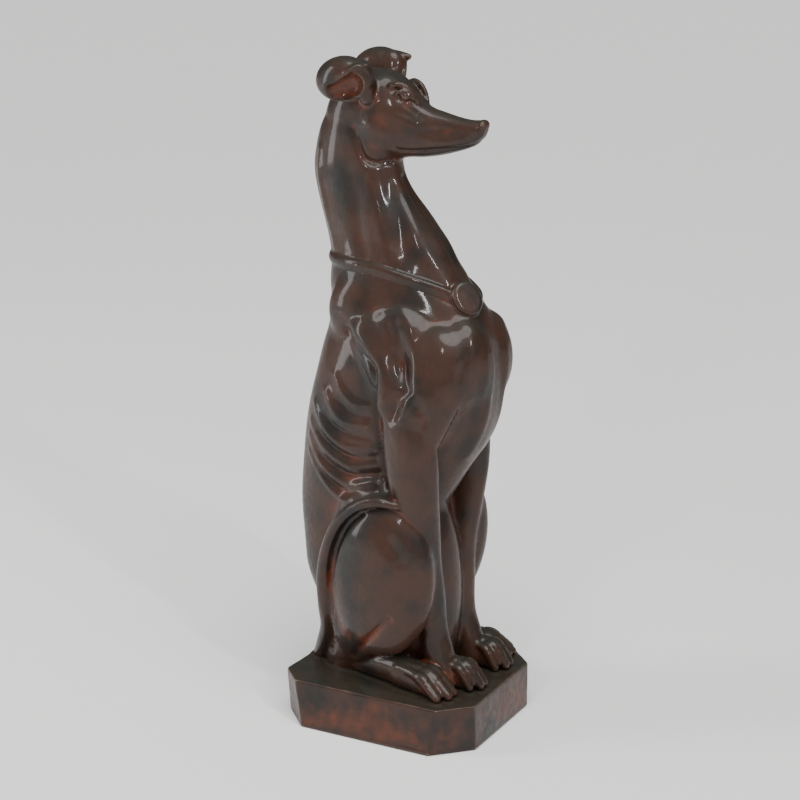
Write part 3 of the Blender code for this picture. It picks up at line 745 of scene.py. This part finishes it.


# Dark brown patina: umber stain over rust brown clay, rubbed back and lacquered. It gives the eye
# rust in the hollows, painted shade near black in the narrowest, pale edges that are partly wear
# and partly painted highlight, and a soft gloss over all of it
def darkBrownPatina():
    material = bpy.data.materials.new("dark_brown_patina_lacquered")
    material.use_nodes = True
    tree = material.node_tree
    place = addNode(tree, "ShaderNodeTexCoord", {}, {}).outputs["Object"]
    upright = addNode(
        tree, "ShaderNodeMapping", {}, {"Vector": place, "Scale": (1, 1, 0.55)}
    ).outputs["Vector"]
    cloud = addNode(
        tree, "ShaderNodeTexNoise", {}, {"Vector": place, "Scale": 1 / patina["cloud"], "Detail": 5.0}
    ).outputs["Fac"]
    mottle = addNode(
        tree, "ShaderNodeTexNoise", {}, {"Vector": place, "Scale": 1 / patina["mottle"], "Detail": 4.0}
    ).outputs["Fac"]
    stroke = addNode(
        tree, "ShaderNodeTexNoise", {}, {"Vector": upright, "Scale": 1 / patina["stroke"], "Detail": 4.0}
    ).outputs["Fac"]
    grit = addNode(
        tree, "ShaderNodeTexNoise", {}, {"Vector": place, "Scale": 1 / patina["grit"], "Detail": 2.0}
    ).outputs["Fac"]
    fine = addNode(tree, "ShaderNodeAttribute", {"attribute_name": "fineHollow"}, {}).outputs["Fac"]
    broad = addNode(tree, "ShaderNodeAttribute", {"attribute_name": "broadHollow"}, {}).outputs["Fac"]
    rubbed = addNode(tree, "ShaderNodeAttribute", {"attribute_name": "rubbed"}, {}).outputs["Fac"]
    normal = addNode(tree, "ShaderNodeNewGeometry", {}, {}).outputs["Normal"]
    facing = addNode(tree, "ShaderNodeSeparateXYZ", {}, {0: normal}).outputs["Z"]

    # the stain is patchy, and greyer on faces turned up, as settled dust and painted sheen
    patch = addNode(
        tree, "ShaderNodeMapRange", {"interpolation_type": "SMOOTHSTEP"}, {0: cloud, 1: 0.3, 2: 0.6}
    ).outputs[0]
    stain = addNode(
        tree,
        "ShaderNodeMix",
        {"data_type": "RGBA"},
        {0: patch, 6: linear(patina["deepUmber"]), 7: linear(patina["umber"])},
    ).outputs[2]
    dustAndSheen = addNode(
        tree, "ShaderNodeMapRange", {"interpolation_type": "SMOOTHSTEP"}, {0: facing, 1: 0.3, 2: 0.95, 4: 0.7}
    ).outputs[0]
    stain = addNode(
        tree, "ShaderNodeMix", {"data_type": "RGBA"}, {0: dustAndSheen, 6: stain, 7: linear(patina["grey"])}
    ).outputs[2]

    # rust shows where it is rubbed, in strokes, and in the broad hollows
    worked = broad
    for pattern, share in ((cloud, 0.9), (mottle, 0.6), (rubbed, 0.8)):
        worked = addNode(
            tree, "ShaderNodeMath", {"operation": "MULTIPLY_ADD"}, {0: pattern, 1: share, 2: worked}
        ).outputs[0]
    rust = addNode(
        tree, "ShaderNodeMapRange", {"interpolation_type": "SMOOTHSTEP"}, {0: worked, 1: 1.42, 2: 2.05}
    ).outputs[0]
    colour = addNode(
        tree, "ShaderNodeMix", {"data_type": "RGBA"}, {0: rust, 6: stain, 7: linear(patina["rust"])}
    ).outputs[2]

    # painted shade near black in the narrow hollows; pale sharpest edges, partly wear and partly painted
    # highlight
    dark = addNode(
        tree, "ShaderNodeMapRange", {"interpolation_type": "SMOOTHSTEP"}, {0: fine, 1: 0.57, 2: 0.78, 4: 0.85}
    ).outputs[0]
    colour = addNode(
        tree, "ShaderNodeMix", {"data_type": "RGBA"}, {0: dark, 6: colour, 7: linear(patina["deepUmber"])}
    ).outputs[2]
    edgeWearAndHighlight = addNode(
        tree, "ShaderNodeMapRange", {"interpolation_type": "SMOOTHSTEP"}, {0: fine, 1: 0.34, 2: 0.1, 4: 0.45}
    ).outputs[0]
    colour = addNode(
        tree, "ShaderNodeMix", {"data_type": "RGBA"}, {0: edgeWearAndHighlight, 6: colour, 7: linear(patina["edgeWearAndHighlight"])}
    ).outputs[2]

    gloss = addNode(tree, "ShaderNodeMapRange", {}, {0: stroke, 1: 0.3, 2: 0.7, 3: 0.42, 4: 0.58}).outputs[0]
    relief = addNode(
        tree, "ShaderNodeMath", {"operation": "MULTIPLY_ADD"}, {0: grit, 1: 0.4, 2: stroke}
    ).outputs[0]
    bump = addNode(
        tree, "ShaderNodeBump", {}, {"Height": relief, "Strength": 0.4, "Distance": 0.0007}
    ).outputs["Normal"]
    shader = tree.nodes["Principled BSDF"]
    tree.links.new(colour, shader.inputs["Base Color"])
    tree.links.new(gloss, shader.inputs["Roughness"])
    tree.links.new(bump, shader.inputs["Normal"])
    shader.inputs["Metallic"].default_value = 0.0
    shader.inputs["IOR"].default_value = 1.42
    shader.inputs["Specular IOR Level"].default_value = 0.35
    shader.inputs["Coat Weight"].default_value = patina["coat"]
    shader.inputs["Coat Roughness"].default_value = patina["coatRoughness"]
    shader.inputs["Coat IOR"].default_value = 1.5
    return material


# The plinth was cut by hand, so no two corners are alike: side and end, how far cut back, lean downwards
plinthCorners = [((-1, -1), 0.033, 0.08), ((1, -1), 0.032, 0.0), ((-1, 1), 0.027, 0.12), ((1, 1), 0.032, 0.0)]
plinth = {
    "flare": 0.004,
    "voxel": 0.002,
    "waviness": 0.0009,
    "swells": 22,  # to a metre, with ripples over them
    "ripples": 90,
    "rippleShare": 0.35,
    "restingEdge": 0.004,  # the lowest and the topmost few mm are treated apart
    "filletReach": 0.006,  # clay pressed up round the feet
    "filletRise": 0.0018,
}


def modelPlinth(figureSkin):
    halfWidth, halfLength = cadBox[1][0] - plinth["flare"], -cadBox[0][1]
    height = sizes["plinthHeight"]
    form = bmesh.new()
    bmesh.ops.create_cube(form, size=1)
    bmesh.ops.scale(form, vec=(2 * halfWidth, 2 * halfLength, height), verts=form.verts)
    bmesh.ops.translate(form, vec=(0, 0, height / 2), verts=form.verts)
    foot = [v for v in form.verts if v.co.z < height / 2]
    bmesh.ops.scale(form, vec=(1 + plinth["flare"] / halfWidth, 1, 1), verts=foot)
    for (side, end), size, lean in plinthCorners:
        cut = bmesh.ops.bisect_plane(
            form,
            geom=form.verts[:] + form.edges[:] + form.faces[:],
            plane_co=(side * (halfWidth - size), end * halfLength, height),
            plane_no=Vector((side, end, -lean)).normalized(),
            clear_outer=True,
        )
        rim = [e for e in cut["geom_cut"] if isinstance(e, bmesh.types.BMEdge)]
        bmesh.ops.contextual_create(form, geom=rim)
    body = bpy.data.objects.new("plinthForm", meshFrom(form, "plinthForm"))
    bpy.context.scene.collection.objects.link(body)
    remesh = body.modifiers.new("grain", "REMESH")
    remesh.mode = "VOXEL"
    remesh.voxel_size = plinth["voxel"]
    soften = body.modifiers.new("soften", "SMOOTH")
    soften.factor = 0.5
    soften.iterations = 3
    graph = bpy.context.evaluated_depsgraph_get()
    mesh = bpy.data.meshes.new_from_object(body.evaluated_get(graph))
    bpy.data.objects.remove(body)
    for vertex in mesh.vertices:
        place = vertex.co.copy()
        wave = noise.noise(place * plinth["swells"]) * plinth["waviness"]
        wave += noise.noise(place * plinth["ripples"]) * plinth["waviness"] * plinth["rippleShare"]
        if place.z > plinth["restingEdge"]:
            vertex.co += vertex.normal * (wave - plinth["waviness"] * 0.5)
        if place.z > height - plinth["restingEdge"]:
            gap = figureSkin.find_nearest(place)[3]
            if gap < plinth["filletReach"]:
                vertex.co.z += plinth["filletRise"] * (1 - (gap / plinth["filletReach"]) ** 2)
    return mesh


def stage(name, place, size):
    form = bmesh.new()
    bmesh.ops.create_circle(form, cap_ends=True, segments=96, radius=size)
    bmesh.ops.translate(form, vec=place, verts=form.verts)
    floor = bpy.data.objects.new(name, meshFrom(form, name))
    bpy.context.scene.collection.objects.link(floor)
    material = bpy.data.materials.new("pale_matt_paper")
    material.use_nodes = True
    shader = material.node_tree.nodes["Principled BSDF"]
    shader.inputs["Base Color"].default_value = linear("#f4f4f3")
    shader.inputs["Roughness"].default_value = 0.95
    shader.inputs["Specular IOR Level"].default_value = 0.1
    floor.data.materials.append(material)


def areaLight(name, place, target, size, power):
    light = bpy.data.lights.new(name, "AREA")
    light.shape = "RECTANGLE"
    light.size, light.size_y = size
    light.energy = power
    lamp = bpy.data.objects.new(name, light)
    bpy.context.scene.collection.objects.link(lamp)
    lamp.location = place
    lamp.rotation_euler = (Vector(target) - Vector(place)).to_track_quat("-Z", "Y").to_euler()


# The photograph's viewpoint, solved from the plinth's corners
view = {"place": (-1.9481, -1.0411, 1.0), "toward": (0.8472, 0.4581, -0.2689), "lens": 89.73}

# Plain soft light from above, two narrow strips in front for the sharp highlights, and a tall window behind
studio = {
    "world": 0.17,
    "ceiling": 3.3,
    "ceilingSpread": 0.8,
    "ceilingTurn": (0.25, -0.35, 0),
    "key": 24,
    "keyPlace": (-1.3, -2.2, 1.9),
    "keySize": (0.1, 0.5),
    "second": 12,
    "secondPlace": (-2.5, -0.35, 1.7),
    "secondSize": (0.07, 0.5),
    "window": 30,
    "windowPlace": (-1.3, 2.0, 1.2),
    "windowSize": (0.5, 2.0),
    "floorDrop": 0.0005,
    "floorRadius": 30,
}


def setCamera():
    camera = bpy.data.cameras.new("photograph")
    camera.lens = view["lens"]
    camera.sensor_width = 36
    holder = bpy.data.objects.new("photograph", camera)
    bpy.context.scene.collection.objects.link(holder)
    holder.location = view["place"]
    holder.rotation_euler = Vector(view["toward"]).to_track_quat("-Z", "Y").to_euler()
    bpy.context.scene.camera = holder


def setLights():
    world = bpy.data.worlds.new("studio")
    bpy.context.scene.world = world
    world.use_nodes = True
    background = world.node_tree.nodes["Background"]
    background.inputs["Color"].default_value = (1, 1, 1, 1)
    background.inputs["Strength"].default_value = studio["world"]
    ceiling = bpy.data.lights.new("ceiling", "SUN")
    ceiling.energy = studio["ceiling"]
    ceiling.angle = studio["ceilingSpread"]
    lamp = bpy.data.objects.new("ceiling", ceiling)
    bpy.context.scene.collection.objects.link(lamp)
    lamp.rotation_euler = studio["ceilingTurn"]
    areaLight("keyStrip", studio["keyPlace"], (0, 0, 0.45), studio["keySize"], studio["key"])
    areaLight("secondStrip", studio["secondPlace"], (0, 0, 0.45), studio["secondSize"], studio["second"])
    areaLight("leftWindow", studio["windowPlace"], (0, 0, 0.4), studio["windowSize"], studio["window"])


def stated(name, mesh, material):
    piece = bpy.data.objects.new(name, mesh)
    bpy.context.scene.collection.objects.link(piece)
    mesh.materials.clear()
    mesh.materials.append(material)
    mesh.shade_smooth()
    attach(piece, "root")
    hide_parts("greyhound_statue")
    return piece


setCamera()
setLights()
stage("floor", (0, 0, -studio["floorDrop"]), studio["floorRadius"])
print("camera, lights and floor are set")

figure = thinned(placed(modelFigure(sizes["roughVoxel"], sizes["fineVoxel"])), sizes["figureTriangles"])
markHollows(figure)
markStain(figure, rustSpots)
print("greyhound modelled:", len(figure.polygons), "faces")
plinthMesh = modelPlinth(skinOf(figure))
markHollows(plinthMesh)
markStain(plinthMesh, [])
print("plinth modelled:", len(plinthMesh.polygons), "faces")
finish = darkBrownPatina()
stated("greyhound", figure, finish)
stated("plinth", plinthMesh, finish)
